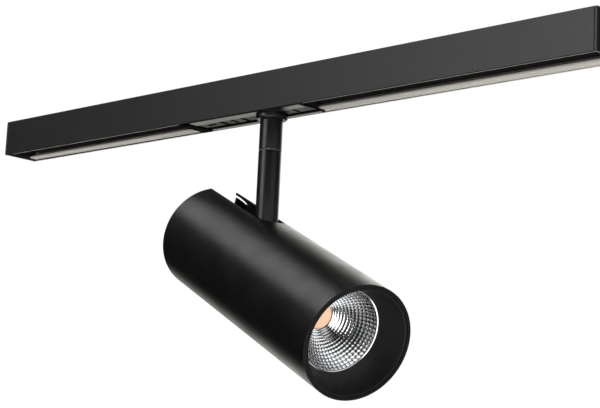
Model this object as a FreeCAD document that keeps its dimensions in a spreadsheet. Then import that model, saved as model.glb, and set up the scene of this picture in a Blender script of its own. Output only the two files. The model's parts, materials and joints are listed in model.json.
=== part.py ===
"""Track spotlight: a tubular LED head on a swivelling stem, hung from a length of three-circuit track.

Frame: +Z up, X along the track, origin on the track's ceiling face, on the axis of the stem.
All sizes are millimetres and come from the spreadsheet "Dims".
Head parts are drawn in the head's own frame: X forward along the tube from its rear rim, Z towards the slot.
Hinge parts are drawn about the tilt pivot: X forward, Z up the stem.
"""
import FreeCAD, Part
import os
import re
import Sketcher

V = FreeCAD.Vector
Placement = FreeCAD.Placement
Rotation = FreeCAD.Rotation

DIMENSIONS = {
    # track
    "track_length": 652.0,
    "track_centre": -7.0,
    "track_width": 36.0,
    "track_height": 32.0,
    "track_wall": 1.8,
    "track_web": 2.5,
    "lip_recess": 1.8,
    "flange_thick": 1.8,
    "slot_width": 20.6,
    "insulator_inner": 11.2,
    "insulator_base": 25.0,
    "groove_height": 3.0,
    "groove_low": 22.0,
    "groove_high": 12.0,
    "groove_deep": 14.2,
    "wire_thick": 1.6,
    "wire_tall": 2.6,
    "cap_thick": 2.5,
    "cap_plug": 7.0,
    "cap_screw_spread": 7.0,
    "socket_deep": 1.0,
    "ceiling_hole": 2.25,
    "ceiling_pitch": 500.0,
    "ceiling_middle": -7.0,
    # adapter
    "cover_left": -98.0,
    "cover_right": 44.0,
    "cover_width": 31.8,
    "cover_top": 30.3,
    "cover_thick": 2.1,
    "shell_left": -94.0,
    "shell_right": 42.0,
    "shell_half": 9.9,
    "shell_top": 4.2,
    "shell_wall": 1.4,
    "channel_near": -6.5,
    "channel_far": 5.5,
    "channel_deep": 0.6,
    "groove_far": 10.6,
    "cover_groove": 1.5,
    "bay_right": -82.0,
    "bay_deep": 1.4,
    "tab_left": -95.5,
    "tab_right": -85.5,
    "tab_near": -10.5,
    "tab_far": 15.2,
    "tab_drop": 0.4,
    "tab_rib": 0.8,
    "tab_rib_pitch": 2.0,
    "tab_rib_first": 1.6,
    "tab_rib_deep": 0.6,
    "sight_left": -56.0,
    "sight_right": -31.0,
    "sight_half": 2.3,
    "lock_left": -70.0,
    "lock_right": 27.0,
    "dial_radius": 5.5,
    "dial_gap": 0.05,
    "phase_place": -43.0,
    "phase_radius": 6.4,
    "dial_slot_half": 2.1,
    "dial_slot_deep": 1.9,
    "dial_rim": 0.6,
    "spindle_radius": 3.4,
    "spindle_length": 8.0,
    "switch_half_length": 8.0,
    "switch_half_width": 7.0,
    "switch_low": 2.0,
    "switch_high": 14.0,
    "lock_shaft": 4.0,
    "lock_length": 19.0,
    "wing_gap": 0.3,
    "sweep_gap": 0.6,
    "blade_half": 1.2,
    "blade_thick": 1.0,
    "blade_slot": 5.0,
    "wing_reach": 14.0,
    "wing_half": 2.6,
    "wing_low": 28.1,
    "wing_high": 26.1,
    "blade_reach": 12.3,
    "board_half": 8.2,
    "board_low": 7.6,
    "board_thick": 1.6,
    "board_inset": 3.0,
    # stem
    "collar_radius": 13.1,
    "collar_height": 4.2,
    "collar_chamfer": 1.3,
    "stem_radius": 9.4,
    "stem_bore": 7.6,
    "stem_edge": 0.35,
    "swivel_depth": 62.0,
    "swivel_gap": 0.5,
    "shoulder": 7.5,
    "rod_radius": 5.0,
    "rod_bore": 3.4,
    "rod_top": 20.0,
    "rod_end": 80.0,
    "run_gap": 0.05,
    "film": 0.02,
    "rod_nut_corner": 8.0,
    "rod_nut_tall": 4.0,
    "washer_inset": 0.9,
    "spring_radius": 6.8,
    "spring_thick": 0.7,
    "swivel_nut_corner": 7.2,
    "swivel_nut_tall": 4.5,
    "nut_drop": 0.75,
    "cable_radius": 2.8,
    "cable_over": 1.0,
    "pivot_depth": 132.2,
    "stem_end": 10.0,
    "pan_angle": -14.7,
    "tilt_angle": 24.0,
    # hinge
    "tongue_half": 6.5,
    "tongue_side": 4.0,
    "plug_length": 12.0,
    "stem_wire": 1.0,
    "stem_wire_hole": 1.2,
    "stem_wire_spread": 5.8,
    "stem_wire_top": 83.0,
    "wire_below": 0.5,
    "bolt_radius": 2.5,
    "washer_radius": 6.0,
    "cheek_inner": 4.6,
    "cheek_outer": 7.6,
    "cheek_radius": 9.0,
    "foot_top": 19.5,
    "foot_thick": 2.0,
    "foot_half": 10.0,
    "foot_front": 118.0,
    "bracket_screw_rear": 102.0,
    "bracket_screw_front": 112.0,
    "thread_deep": 10.0,
    "bolt_head": 4.4,
    "bolt_head_tall": 2.6,
    "bolt_socket": 2.3,
    "bolt_socket_deep": 1.6,
    "tilt_nut_corner": 4.6,
    "tilt_nut_tall": 3.4,
    # head
    "head_length": 250.0,
    "head_radius": 45.0,
    "head_bore": 42.8,
    "pivot_along": 85.9,
    "pivot_up": 30.0,
    "slot_half": 12.1,
    "rim_edge": 0.4,
    "slot_over": 5.0,
    "tube_screw_rear": 100.0,
    "tube_screw_front": 185.0,
    "tube_screw_sink": 0.2,
    "rear_radius": 41.3,
    "rear_inset": 2.0,
    "rear_thick": 3.0,
    "notch_half": 11.8,
    "notch_low": 18.5,
    "vent_half": 16.0,
    "vent_tall": 2.4,
    "vent_pitch": 6.0,
    "vent_first": -14.0,
    "sink_start": 20.0,
    "sink_face": 190.0,
    "sink_base": 10.0,
    "sink_radius": 41.0,
    "sink_fit": 42.75,
    "trough_end": 125.0,
    "trough_half": 13.0,
    "fin_pitch": 5.0,
    "fin_gap": 3.5,
    "web_half": 1.5,
    "head_wire": 1.1,
    "head_wire_hole": 1.6,
    "head_wire_spread": 5.0,
    "head_wire_up": 24.0,
    "head_wire_start": 98.0,
    "head_wire_over": 2.0,
    "post_radius": 3.0,
    "post_tap": 9.0,
    "post_spread": 30.0,
    "post_rise": 6.0,
    "post_drop": 28.0,
    "led_half": 14.0,
    "led_thick": 1.8,
    "emitter_radius": 10.25,
    "emitter_thick": 1.4,
    "holder_inner": 14.2,
    "holder_outer": 22.5,
    "holder_thick": 2.2,
    "holder_screw_spread": 18.5,
    "holder_tap": 8.0,
    "mirror_base": 193.8,
    "mirror_front": 223.7,
    "mirror_neck": 10.4,
    "mirror_mouth": 32.8,
    "mirror_curve": 46.0,
    "mirror_wall": 1.0,
    "mirror_foot": 1.3,
    "mirror_flange": 36.0,
    "baffle_front": 249.6,
    "baffle_outer": 42.7,
    "baffle_mouth": 40.7,
    "baffle_neck": 32.9,
    "baffle_back": 223.9,
    "sleeve_inner": 41.5,
    "sleeve_rim": 2.5,
    "cone_wall": 1.4,
    "screw_shank": 1.5,
    "screw_head": 2.7,
    "screw_rise": 1.6,
}

doc = FreeCAD.newDocument("track_spotlight")
dims = doc.addObject("Spreadsheet::Sheet", "Dims")
for row, (alias, number) in enumerate(DIMENSIONS.items(), start=1):
    dims.set("A%d" % row, alias)
    dims.set("B%d" % row, "%g" % number)
    dims.setAlias("B%d" % row, alias)
doc.recompute()

nodes = {}


# ---- expressions -------------------------------------------------------------------------------

def sheet_text(text):
    """The expression with each alias written as a reference to the spreadsheet."""
    def name(match):
        word = match.group()
        return "Dims." + word if word in DIMENSIONS else word
    return re.sub(r"[A-Za-z_]\w*", name, text)


def value(text):
    """The number that an expression gives now."""
    return float(dims.evalExpression(sheet_text(text)))


def bind(item, prop, text):
    item.setExpression(prop, sheet_text(text))


# ---- Part primitives ---------------------------------------------------------------------------

TURNS = {
    "x": Rotation(V(0, 1, 0), 90),
    "y": Rotation(V(1, 0, 0), -90),
    "z": Rotation(),
    "-x": Rotation(V(0, 1, 0), -90),
}


def place(item, at, axis="z"):
    item.Placement = Placement(V(), TURNS[axis])
    for letter, text in zip("xyz", at):
        bind(item, "Placement.Base." + letter, text)
    return item


def box(low, high):
    """A box between two corners."""
    item = doc.addObject("Part::Box", "Box")
    for prop, a, b in zip(("Length", "Width", "Height"), low, high):
        bind(item, prop, "(%s) - (%s)" % (b, a))
    return place(item, low)


def rod(radius, length, at, axis="z"):
    """A round bar that starts at a point and runs along an axis."""
    item = doc.addObject("Part::Cylinder", "Rod")
    bind(item, "Radius", radius)
    bind(item, "Height", length)
    return place(item, at, axis)


def hexagon(corner_radius, length, at, axis="z"):
    """A six-sided bar."""
    item = doc.addObject("Part::Prism", "Hexagon")
    item.Polygon = 6
    bind(item, "Circumradius", corner_radius)
    bind(item, "Height", length)
    return place(item, at, axis)


def fuse(*items):
    item = doc.addObject("Part::MultiFuse", "Fuse")
    item.Shapes = list(items)
    item.Refine = True
    return item


def cut(base, *tools):
    item = doc.addObject("Part::Cut", "Cut")
    item.Base = base
    item.Tool = tools[0] if len(tools) == 1 else fuse(*tools)
    item.Refine = True
    return item


def common(one, other):
    item = doc.addObject("Part::Common", "Common")
    item.Base = one
    item.Tool = other
    return item


def group(*items):
    """Several separate solids that share one node."""
    item = doc.addObject("Part::Compound", "Group")
    item.Links = list(items)
    return item


def ring(outer, inner, length, at, axis="z"):
    return cut(rod(outer, length, at, axis), rod(inner, length, at, axis))


# ---- PartDesign bodies -------------------------------------------------------------------------

def new_body(name):
    return doc.addObject("PartDesign::Body", name)


def origin_plane(body, role):
    return next(item for item in body.Origin.OriginFeatures if item.Role == role)


def arc_edge(start, end, radius, side):
    """An arc from start to end, drawn anticlockwise, that bulges "left" or "right" of the straight line."""
    chord = end - start
    half = chord.Length / 2
    rise = radius - (radius ** 2 - half ** 2) ** 0.5
    left = V(-chord.y, chord.x, 0).normalize()
    if side == "left":
        return Part.Arc(end, (start + end) / 2 + left * rise, start)
    return Part.Arc(start, (start + end) / 2 - left * rise, end)


def outline_sketch(body, role, corners, offset="0"):
    """A closed sketch of corners (x, y). With (x, y, radius, side) an arc leads to the next corner."""
    sketch = body.newObject("Sketcher::SketchObject", "Sketch")
    sketch.AttachmentSupport = [(origin_plane(body, role), "")]
    sketch.MapMode = "FlatFace"
    bind(sketch, "AttachmentOffset.Base.z", offset)
    points = [V(value(corner[0]), value(corner[1]), 0) for corner in corners]
    count = len(corners)
    for index, corner in enumerate(corners):
        start = points[index]
        end = points[(index + 1) % count]
        if len(corner) == 2:
            sketch.addGeometry(Part.LineSegment(start, end), False)
        else:
            sketch.addGeometry(arc_edge(start, end, value(corner[2]), corner[3]), False)
    add_corner_constraints(sketch, corners)
    return sketch


def first_end(corner):
    """End number at the corner itself: an arc to the left is drawn backwards, so it ends there."""
    return 2 if corner[-1] == "left" else 1


def add_corner_constraints(sketch, corners):
    count = len(corners)
    for index, corner in enumerate(corners):
        following = (index + 1) % count
        here = first_end(corner)
        there = first_end(corners[following])
        sketch.addConstraint(Sketcher.Constraint("Coincident", index, 3 - here, following, there))
        for kind, text in (("DistanceX", corner[0]), ("DistanceY", corner[1])):
            number = sketch.addConstraint(Sketcher.Constraint(kind, -1, 1, index, here, value(text)))
            bind(sketch, "Constraints[%d]" % number, text)
        if len(corner) > 2:
            number = sketch.addConstraint(Sketcher.Constraint("Radius", index, value(corner[2])))
            bind(sketch, "Constraints[%d]" % number, corner[2])


def pad(body, sketch, length):
    feature = body.newObject("PartDesign::Pad", "Pad")
    feature.Profile = sketch
    bind(feature, "Length", length)
    return feature


def revolve(body, corners, axis):
    """Revolve a profile in the XZ plane about "H_Axis" (X) or "V_Axis" (Z)."""
    sketch = outline_sketch(body, "XZ_Plane", corners)
    feature = body.newObject("PartDesign::Revolution", "Revolution")
    feature.Profile = sketch
    feature.ReferenceAxis = (sketch, [axis])
    feature.Angle = 360
    return body


def node(label, item, frame=None):
    """Name a finished sub-part and put it in its frame."""
    if frame is not None and item.TypeId in ("Part::Box", "Part::Cylinder", "Part::Prism"):
        item = group(item)
    item.Label = label
    if frame is not None:
        item.Placement = frame
    nodes[label] = item


# ---- frames ------------------------------------------------------------------------------------

def stem_frame():
    """Frame at the tilt pivot, turned by the pan angle."""
    return Placement(V(0, 0, -value("pivot_depth")), Rotation(V(0, 0, 1), value("pan_angle")))


def head_frame():
    """Frame of the head tube: origin at the middle of its rear rim."""
    tilt = Placement(V(), Rotation(V(0, 1, 0), value("tilt_angle")))
    back = Placement(V(-value("pivot_along"), 0, -value("pivot_up")), Rotation())
    return stem_frame() * tilt * back


STEM = stem_frame()
HEAD = head_frame()


# ---- track -------------------------------------------------------------------------------------

TRACK_START = "track_centre - track_length / 2"
CAP_SCREWS = ("-cap_screw_spread", "cap_screw_spread")


def track_section():
    """Half outline, mirrored: side wall, bottom lip, recess, slot flange and the inside."""
    half = [
        ("track_width / 2", "0"),
        ("track_width / 2", "-track_height"),
        ("track_width / 2 - track_wall", "-track_height"),
        ("track_width / 2 - track_wall", "lip_recess - track_height"),
        ("slot_width / 2", "lip_recess - track_height"),
        ("slot_width / 2", "lip_recess + flange_thick - track_height"),
        ("track_width / 2 - track_wall", "lip_recess + flange_thick - track_height"),
        ("track_width / 2 - track_wall", "-track_web"),
    ]
    mirrored = [("-(%s)" % across, up) for across, up in reversed(half)]
    return half + mirrored


def ceiling_hole(side):
    middle = "ceiling_middle + %d * ceiling_pitch / 2" % side
    return rod("ceiling_hole", "3 * track_web", (middle, "0", "-2 * track_web"))


def make_extrusion():
    body = new_body("TrackSection")
    pad(body, outline_sketch(body, "YZ_Plane", track_section(), TRACK_START), "track_length")
    node("track_extrusion", cut(body, ceiling_hole(-1), ceiling_hole(1)))


def insulator_section(side):
    inner = "%d * insulator_inner" % side
    outer = "%d * (track_width / 2 - track_wall)" % side
    deep = "%d * groove_deep" % side
    return [
        (inner, "-track_web"),
        (outer, "-track_web"),
        (outer, "-insulator_base"),
        (inner, "-insulator_base"),
        (inner, "-groove_low"),
        (deep, "-groove_low"),
        (deep, "groove_height - groove_low"),
        (inner, "groove_height - groove_low"),
        (inner, "-groove_high"),
        (deep, "-groove_high"),
        (deep, "groove_height - groove_high"),
        (inner, "groove_height - groove_high"),
    ]


def make_insulator(label, side):
    body = new_body("Insulator")
    start = TRACK_START + " + cap_plug"
    pad(body, outline_sketch(body, "YZ_Plane", insulator_section(side), start), "track_length - 2 * cap_plug")
    node(label, body)


def conductor(side, level):
    """One copper bar at the back of an insulator groove."""
    back = "%d * groove_deep" % side
    face = "%d * (groove_deep - wire_thick)" % side
    low, high = (face, back) if side > 0 else (back, face)
    base = "groove_height / 2 - wire_tall / 2 - %s" % level
    start = TRACK_START + " + cap_plug"
    end = TRACK_START + " + track_length - cap_plug"
    return box((start, low, base), (end, high, base + " + wire_tall"))


def make_conductors():
    bars = [conductor(side, level) for side in (-1, 1) for level in ("groove_low", "groove_high")]
    node("track_conductors", group(*bars))


def make_end_cap(label, side):
    """Moulded cap: a cover plate on the cut end and a plug inside the profile, with two screw holes."""
    face = "track_centre + %d * track_length / 2" % side
    axis = "x" if side > 0 else "-x"
    outside = "%s + %d * cap_thick" % (face, side)
    inside = "%s - %d * cap_plug" % (face, side)
    first, last = (face, outside) if side > 0 else (outside, face)
    plug_first, plug_last = (inside, face) if side > 0 else (face, inside)
    plate = box((first, "-track_width / 2", "-track_height"), (last, "track_width / 2", "0"))
    plug = box((plug_first, "-insulator_inner", "-insulator_base"),
               (plug_last, "insulator_inner", "-track_web"))
    shanks = [rod("screw_shank", "cap_plug + cap_thick", (inside, across, "-track_height / 2"), axis)
              for across in CAP_SCREWS]
    node(label, cut(fuse(plate, plug), *shanks))


def cap_screw(side, across):
    face = "track_centre + %d * (track_length / 2 + cap_thick)" % side
    axis = "x" if side > 0 else "-x"
    inside = "track_centre + %d * (track_length / 2 - cap_plug)" % side
    socket_floor = "%s + %d * (screw_rise - socket_deep)" % (face, side)
    level = "-track_height / 2"
    shank = rod("screw_shank", "cap_plug + cap_thick", (inside, across, level), axis)
    head = rod("screw_head", "screw_rise", (face, across, level), axis)
    socket = hexagon("screw_shank", "screw_rise", (socket_floor, across, level), axis)
    return cut(fuse(shank, head), socket)


def make_track():
    make_extrusion()
    make_insulator("insulator_near", -1)
    make_insulator("insulator_far", 1)
    make_conductors()
    make_end_cap("end_cap_left", -1)
    make_end_cap("end_cap_right", 1)
    node("end_cap_screws", group(*[cap_screw(side, across) for side in (-1, 1) for across in CAP_SCREWS]))


# ---- adapter -----------------------------------------------------------------------------------

COVER_TOP = "-cover_top"
COVER_FACE = "-cover_top - cover_thick"
CHANNEL_FACE = COVER_FACE + " + channel_deep"
BAY_FLOOR = COVER_FACE + " + bay_deep"
LOCKS = ("lock_left", "lock_right")


def sight_window(middle):
    """Opening across the finger channel through which the phase marks are read."""
    return box((middle + " - sight_half", "channel_near", COVER_FACE),
               (middle + " + sight_half", "channel_far", COVER_TOP))


def make_adapter_cover():
    """Plate that closes the adapter, with a bay for the release tab, a finger channel and a groove."""
    plate = box(("cover_left", "-cover_width / 2", COVER_FACE), ("cover_right", "cover_width / 2", COVER_TOP))
    channel = box(("bay_right", "channel_near", COVER_FACE), ("cover_right", "channel_far", CHANNEL_FACE))
    groove = box(("bay_right", "channel_far", COVER_FACE),
                 ("cover_right", "groove_far", COVER_FACE + " + cover_groove"))
    bay = box(("cover_left", "-cover_width / 2", COVER_FACE), ("bay_right", "cover_width / 2", BAY_FLOOR))
    openings = [rod("dial_radius + dial_gap", "cover_thick", (at, "0", COVER_FACE)) for at in LOCKS]
    openings.append(rod("phase_radius + dial_gap", "cover_thick", ("phase_place", "0", COVER_FACE)))
    openings.append(rod("rod_radius", "cover_thick", ("0", "0", COVER_FACE)))
    openings += [sight_window(middle) for middle in ("sight_left", "sight_right")]
    node("adapter_cover", cut(plate, channel, groove, bay, *openings))


def sweep_window(at, level_low, level_high):
    """Opening through both long sides where a lock wing or a contact blade swings out."""
    return box(("%s - wing_reach - sweep_gap" % at, "-shell_half", level_low),
               ("%s + wing_reach + sweep_gap" % at, "shell_half", level_high))


def blade_window(at, level):
    return sweep_window(at, "sweep_gap - " + level, "groove_height - sweep_gap - " + level)


def make_adapter_shell():
    shell = box(("shell_left", "-shell_half", COVER_TOP), ("shell_right", "shell_half", "-shell_top"))
    inside = box(("shell_left + shell_wall", "shell_wall - shell_half", COVER_TOP),
                 ("shell_right - shell_wall", "shell_half - shell_wall", "-shell_top - shell_wall"))
    windows = [sweep_window(at, "-wing_low - wing_gap", "-wing_high + wing_gap") for at in LOCKS]
    windows.append(blade_window("lock_left", "groove_low"))
    windows.append(blade_window("lock_right", "groove_high"))
    node("adapter_shell", cut(shell, inside, *windows))


def coin_slot(at, radius, along):
    """Deep slot in a dial, along the track or across it."""
    half_x, half_y = "dial_slot_half", radius + " - dial_rim"
    if along:
        half_x, half_y = half_y, half_x
    return box(("%s - (%s)" % (at, half_x), "-(%s)" % half_y, CHANNEL_FACE),
               ("%s + %s" % (at, half_x), half_y, CHANNEL_FACE + " + dial_slot_deep"))


def cross_bar(at, half, reach, low, high):
    """Flat bar across the track, centred on a lock."""
    return box((at + " - " + half, "-" + reach, low), (at + " + " + half, reach, high))


def make_lock(side, at, level, slot_along):
    """Rotary lock: a dial, a shaft and two wings over the track flanges; its blades touch two conductors."""
    dial = rod("dial_radius", "cover_thick - channel_deep", (at, "0", CHANNEL_FACE))
    shaft = rod("lock_shaft", "lock_length", (at, "0", COVER_TOP))
    wing = cross_bar(at, "wing_half", "wing_reach", "-wing_low", "-wing_high")
    tips = rod("wing_reach", "wing_low - wing_high", (at, "0", "-wing_low"))
    blade_low = "groove_height / 2 - blade_thick / 2 - " + level
    blade_high = "groove_height / 2 + blade_thick / 2 - " + level
    blade = cross_bar(at, "blade_half", "blade_reach", blade_low, blade_high)
    slot = cross_bar(at, "blade_half", "blade_slot", blade_low, blade_high)
    body = fuse(dial, shaft, common(wing, tips))
    node("lock_rotor_" + side, cut(body, slot, coin_slot(at, "dial_radius", slot_along)))
    node("contact_blade_" + side, blade)


def make_phase_selector():
    """Three-position dial and the switch block that it turns."""
    face = rod("phase_radius", "cover_thick - channel_deep", ("phase_place", "0", CHANNEL_FACE))
    spindle = rod("spindle_radius", "spindle_length", ("phase_place", "0", COVER_TOP))
    node("phase_dial", cut(fuse(face, spindle), coin_slot("phase_place", "phase_radius", False)))
    block = box(("phase_place - switch_half_length", "-switch_half_width", "switch_low - cover_top"),
                ("phase_place + switch_half_length", "switch_half_width", "switch_high - cover_top"))
    bore = rod("spindle_radius + run_gap", "switch_high", ("phase_place", "0", "switch_low - cover_top"))
    node("phase_switch", cut(block, bore))


TAB_RIBS = 4


def make_release_tab():
    """Ribbed spring-loaded tab in its bay at the end of the adapter; it slides to free the adapter."""
    face = COVER_FACE + " - tab_drop"
    tab = box(("tab_left", "tab_near", face), ("tab_right", "tab_far", BAY_FLOOR + " - run_gap"))
    ribs = []
    for step in range(TAB_RIBS):
        start = "tab_left + tab_rib_first + %d * tab_rib_pitch" % step
        ribs.append(box((start, "tab_near", face),
                        (start + " + tab_rib", "tab_far", face + " + tab_rib_deep")))
    node("release_tab", cut(tab, *ribs))


# Block-shaped driver parts as (left, right, half width, height)
DRIVER_BLOCKS = (
    ("-30", "-14", "7", "12"),
    ("6", "12.5", "5", "8"),
    ("-90", "-85.5", "4", "8"),
)
# Round driver part as (place, radius, height)
DRIVER_CAN = ("-57", "3.9", "9")


def make_driver():
    """Driver board under the roof of the adapter, and its transformer, choke, film and round capacitors."""
    low = "-board_low - board_thick"
    node("driver_board", box(("shell_left + board_inset", "-board_half", low),
                             ("shell_right - board_inset", "board_half", "-board_low")))
    parts = [box((left, "-" + half, low + " - " + tall), (right, half, low))
             for left, right, half, tall in DRIVER_BLOCKS]
    along, radius, tall = DRIVER_CAN
    parts.append(rod(radius, tall, (along, "0", low + " - " + tall)))
    node("driver_components", group(*parts))


def make_adapter():
    make_adapter_cover()
    make_adapter_shell()
    make_lock("left", "lock_left", "groove_low", True)
    make_lock("right", "lock_right", "groove_high", False)
    make_phase_selector()
    make_release_tab()
    make_driver()


# ---- stem --------------------------------------------------------------------------------------

STEM_TOP = "cover_top + cover_thick"


def make_collar():
    body = new_body("Collar")
    top = "-(%s)" % STEM_TOP
    foot = "-(%s) - collar_height" % STEM_TOP
    revolve(body, [
        ("rod_radius", top),
        ("collar_radius", top),
        ("collar_radius", foot + " + collar_chamfer"),
        ("collar_radius - collar_chamfer", foot),
        ("rod_radius", foot),
    ], "V_Axis")
    node("collar", body)


def make_upper_stem():
    body = new_body("UpperStem")
    top = "-(%s) - collar_height" % STEM_TOP
    revolve(body, [
        ("rod_radius", top),
        ("stem_radius", top),
        ("stem_radius", "stem_edge - swivel_depth"),
        ("stem_radius - stem_edge", "-swivel_depth"),
        ("rod_radius", "-swivel_depth"),
    ], "V_Axis")
    node("upper_stem", body)


def make_lower_stem():
    """Turning part of the stem: a shoulder that runs on the hollow rod, and a bore for the hinge plug."""
    body = new_body("LowerStem")
    top = "-swivel_depth - swivel_gap"
    end = "stem_end - pivot_depth"
    revolve(body, [
        ("rod_radius + run_gap", top),
        ("stem_radius - stem_edge", top),
        ("stem_radius", top + " - stem_edge"),
        ("stem_radius", end + " + stem_edge"),
        ("stem_radius - stem_edge", end),
        ("stem_bore", end),
        ("stem_bore", top + " - shoulder"),
        ("rod_radius + run_gap", top + " - shoulder"),
    ], "V_Axis")
    node("lower_stem", body)


def nut(corner, height, at):
    return cut(hexagon(corner, height, at), rod("rod_radius", height, at))


def make_swivel():
    """Hollow rod through the stem, its nuts and washers, and the supply cable inside it."""
    node("hollow_rod", ring("rod_radius", "rod_bore", "rod_end - rod_top", ("0", "0", "-rod_end")))
    node("rod_nut", nut("rod_nut_corner", "rod_nut_tall", ("0", "0", COVER_TOP)))
    node("swivel_washer", ring("stem_radius - washer_inset", "rod_radius", "swivel_gap - film",
                               ("0", "0", "film - swivel_gap - swivel_depth")))
    under = "-swivel_depth - swivel_gap - shoulder"
    washer_at = ("0", "0", under + " - nut_drop")
    nut_at = ("0", "0", under + " - nut_drop - swivel_nut_tall")
    node("spring_washer", ring("spring_radius", "rod_radius", "spring_thick", washer_at))
    node("swivel_nut", nut("swivel_nut_corner", "swivel_nut_tall", nut_at))
    node("supply_cable", rod("cable_radius", "rod_end - rod_top + 3 * cable_over",
                             ("0", "0", "-rod_end - cable_over")))


def make_tongue():
    """Hinge tongue: a flat blade round the pivot and a plug that is pressed into the lower stem."""
    blade = box(("-tongue_half", "-tongue_side", "0"), ("tongue_half", "tongue_side", "stem_end"))
    nose = rod("tongue_half", "2 * tongue_side", ("0", "-tongue_side", "0"), "y")
    plug = rod("stem_bore", "plug_length", ("0", "0", "stem_end"))
    eye = rod("bolt_radius + run_gap", "2 * tongue_side", ("0", "-tongue_side", "0"), "y")
    sides = ("-stem_wire_spread", "stem_wire_spread")
    holes = [rod("stem_wire_hole", "plug_length", ("0", across, "stem_end")) for across in sides]
    node("hinge_tongue", cut(fuse(blade, nose, plug), eye, *holes), STEM)
    length = "pivot_depth - stem_wire_top - stem_end + wire_below"
    wires = [rod("stem_wire", length, ("0", across, "stem_end - wire_below")) for across in sides]
    node("stem_wires", group(*wires), STEM)


def make_stem():
    make_collar()
    make_upper_stem()
    make_swivel()
    make_lower_stem()
    make_tongue()


# ---- hinge, in the head's frame ----------------------------------------------------------------

BRACKET_SCREWS = ("bracket_screw_rear", "bracket_screw_front")


def bracket_screw(along):
    shank = rod("screw_shank", "thread_deep", (along, "0", "foot_top - thread_deep"))
    head = rod("screw_head", "screw_rise", (along, "0", "foot_top"))
    socket = hexagon("screw_shank", "socket_deep", (along, "0", "foot_top + screw_rise - socket_deep"))
    return cut(fuse(shank, head), socket)


def cheek(side):
    """One side plate of the hinge bracket, rounded about the pivot."""
    inner = "%d * cheek_inner" % side
    outer = "%d * cheek_outer" % side
    low, high = (inner, outer) if side > 0 else (outer, inner)
    plate = box(("pivot_along - cheek_radius", low, "foot_top"),
                ("pivot_along + cheek_radius", high, "pivot_up"))
    round_end = rod("cheek_radius", "cheek_outer - cheek_inner", ("pivot_along", low, "pivot_up"), "y")
    return [plate, round_end]


def make_bracket():
    """U-shaped bracket: a foot on the floor of the heat sink's trough and two cheeks beside the tongue."""
    foot = box(("pivot_along - cheek_radius", "-foot_half", "foot_top - foot_thick"),
               ("foot_front", "foot_half", "foot_top"))
    pin_hole = rod("bolt_radius", "2 * foot_half", ("pivot_along", "-foot_half", "pivot_up"), "y")
    holes = [rod("screw_shank", "foot_thick", (along, "0", "foot_top - foot_thick"))
             for along in BRACKET_SCREWS]
    node("hinge_bracket", cut(fuse(foot, *cheek(-1), *cheek(1)), pin_hole, *holes), HEAD)
    node("bracket_screws", group(*[bracket_screw(along) for along in BRACKET_SCREWS]), HEAD)


def make_tilt_bolt():
    """Bolt and nut that clamp the cheeks on the tongue, with a friction washer on each side of it."""
    head_at = ("pivot_along", "-cheek_outer - bolt_head_tall", "pivot_up")
    length = "2 * cheek_outer + tilt_nut_tall"
    shank = rod("bolt_radius", length, ("pivot_along", "-cheek_outer", "pivot_up"), "y")
    head = rod("bolt_head", "bolt_head_tall", head_at, "y")
    socket = hexagon("bolt_socket", "bolt_socket_deep", head_at, "y")
    node("tilt_bolt", cut(fuse(shank, head), socket), HEAD)
    nut_at = ("pivot_along", "cheek_outer", "pivot_up")
    outside = hexagon("tilt_nut_corner", "tilt_nut_tall", nut_at, "y")
    node("tilt_nut", cut(outside, rod("bolt_radius", "tilt_nut_tall", nut_at, "y")), HEAD)
    thick = "cheek_inner - tongue_side - film"
    discs = [ring("washer_radius", "bolt_radius", thick, ("pivot_along", low, "pivot_up"), "y")
             for low in ("tongue_side + film", "-cheek_inner")]
    node("friction_washers", group(*discs), HEAD)


# ---- head --------------------------------------------------------------------------------------

TUBE_SCREWS = ("tube_screw_rear", "tube_screw_front")


def tube_screw_hole(along):
    return rod("screw_head + 2 * run_gap", "2 * slot_over", (along, "0", "-head_radius - slot_over"))


def make_head_tube():
    """Plain tube with softened rims and a slot, open at the rear, in which the stem swings."""
    body = new_body("HeadTube")
    revolve(body, [
        ("0", "head_bore + rim_edge"),
        ("0", "head_radius - rim_edge"),
        ("rim_edge", "head_radius"),
        ("head_length - rim_edge", "head_radius"),
        ("head_length", "head_radius - rim_edge"),
        ("head_length", "head_bore + rim_edge"),
        ("head_length - rim_edge", "head_bore"),
        ("rim_edge", "head_bore"),
    ], "H_Axis")
    slot = box(("-slot_over", "-slot_half", "pivot_up"),
               ("pivot_along", "slot_half", "head_radius + slot_over"))
    end = rod("slot_half", "head_radius + slot_over - pivot_up", ("pivot_along", "0", "pivot_up"))
    holes = [tube_screw_hole(along) for along in TUBE_SCREWS]
    node("head_tube", cut(body, slot, end, *holes), HEAD)


def tube_screw(along):
    face = "tube_screw_sink - head_radius"
    head = rod("screw_head", "screw_rise", (along, "0", face))
    shank = rod("screw_shank", "thread_deep", (along, "0", face + " + screw_rise"))
    socket = hexagon("screw_shank", "socket_deep", (along, "0", face))
    return cut(fuse(head, shank), socket)


FIN_STEPS = 8
SPINE_STEPS = 2
HOLDER_SCREWS = ("-holder_screw_spread", "holder_screw_spread")
HEAD_WIRES = ("-head_wire_spread", "head_wire_spread")


def fin_slots():
    """Air gaps between the fins, above and below the middle web; the spine under the hinge has none above."""
    base = "sink_face - sink_base"
    gaps = []
    for step in range(-FIN_STEPS, FIN_STEPS + 1):
        near = "%d * fin_pitch - fin_gap / 2" % step
        far = "%d * fin_pitch + fin_gap / 2" % step
        gaps.append(box(("sink_start", near, "-sink_fit"), (base, far, "-web_half")))
        if abs(step) > SPINE_STEPS:
            gaps.append(box(("sink_start", near, "web_half"), (base, far, "sink_fit")))
    return gaps


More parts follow.
